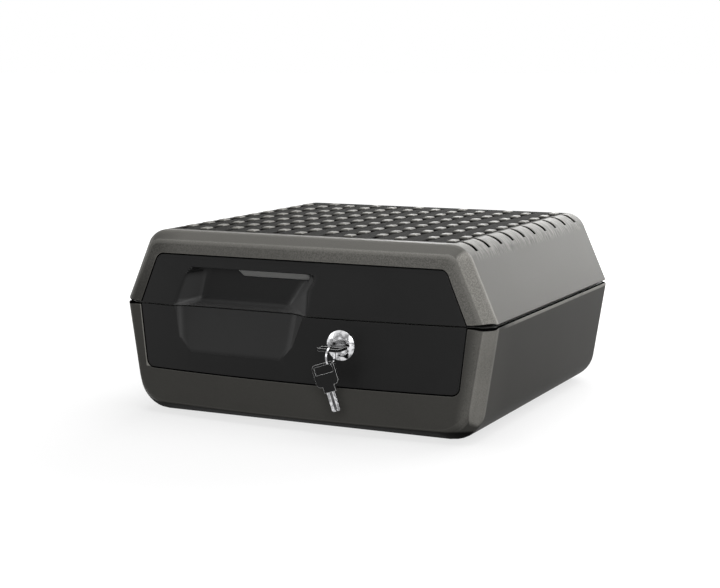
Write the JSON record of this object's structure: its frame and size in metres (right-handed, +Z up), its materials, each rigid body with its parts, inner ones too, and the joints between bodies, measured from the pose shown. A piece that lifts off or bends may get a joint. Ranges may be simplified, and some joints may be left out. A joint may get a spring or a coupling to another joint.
{
  "type": "fire chest",
  "caption": "Low fire-resistant chest with a hinged lid, finger-pocket latch, cam lock in the front, and two keys on a ring.",
  "frame": {"origin": "on the floor, at the middle of the box that holds the whole part, keys included", "axes": "+X to the chest's right seen from its front, -Y towards its front, +Z up"},
  "size_m": [0.3906, 0.3982, 0.18],
  "materials": {
    "shell_plastic": "fine grain, charcoal",
    "fill": "cast, matt",
    "liner_plastic": "smooth, grey",
    "panel_plastic": "smooth, satin black",
    "rubber": "matt black",
    "lever_plastic": "smooth, grey",
    "key_plastic": "smooth black",
    "chrome": "polished",
    "plated_steel": "plated, satin",
    "hinge_paint": "black, satin"
  },
  "bodies": {
    "base": {"base_shell": "shell_plastic", "base_fill": "fill", "base_liner": "liner_plastic", "base_panel": "panel_plastic", "rim_seal": "rubber", "strike_plate": "plated_steel", "strike_screws": "plated_steel", "lock_housing": "chrome", "lock_nut": "plated_steel", "base_hinges": "hinge_paint", "hinge_pins": "plated_steel", "base_hinge_screws": "plated_steel", "rubber_feet": "rubber"},
    "lid": {"lid_shell": "shell_plastic", "lid_fill": "fill", "lid_liner": "liner_plastic", "lid_panel": "panel_plastic", "lid_hinges": "hinge_paint", "lid_hinge_screws": "plated_steel", "latch_bracket": "plated_steel", "bracket_screws": "plated_steel", "latch_axle": "plated_steel", "cam_keeper": "plated_steel", "keeper_screws": "plated_steel"},
    "latch": {"latch_lever": "lever_plastic", "latch_hooks": "plated_steel", "latch_spring": "plated_steel"},
    "plug": {"lock_plug": "chrome", "lock_cam": "plated_steel", "cam_screw": "plated_steel"},
    "lock_key": {"lock_key_blade": "chrome", "lock_key_bow": "key_plastic"},
    "ring": {"split_ring": "chrome"},
    "spare_key": {"spare_key_blade": "chrome", "spare_key_bow": "key_plastic"}
  },
  "joints": [
    {"name": "lid_hinge", "type": "hinge", "parent": "base", "child": "lid", "pos_m": [0, 0.19514, 0.1075], "axis": [-1, 0, 0], "range_deg": [0, 95]},
    {"name": "latch_lift", "type": "hinge", "parent": "lid", "child": "latch", "pos_m": [0, -0.11536, 0.146], "axis": [-1, 0, 0], "range_deg": [0, 10], "stiffness_Nm_per_rad": 0.5, "springref_deg": -11.46},
    {"name": "lock_turn", "type": "hinge", "parent": "base", "child": "plug", "pos_m": [0.0524, -0.15136, 0.0841], "axis": [0, 1, 0], "range_deg": [0, 90]},
    {"name": "key_pull", "type": "slide", "parent": "plug", "child": "lock_key", "axis": [0, -1, 0], "range_m": [0, 0.03]},
    {"name": "ring_swing", "type": "hinge", "parent": "lock_key", "child": "ring", "pos_m": [0.0554, -0.19034, 0.0841], "axis": [0, 1, 0], "range_deg": [-15, 15]},
    {"name": "spare_swing", "type": "hinge", "parent": "ring", "child": "spare_key", "pos_m": [0.0554, -0.19034, 0.07075], "axis": [0, 1, 0], "range_deg": [-20, 20]}
  ]
}
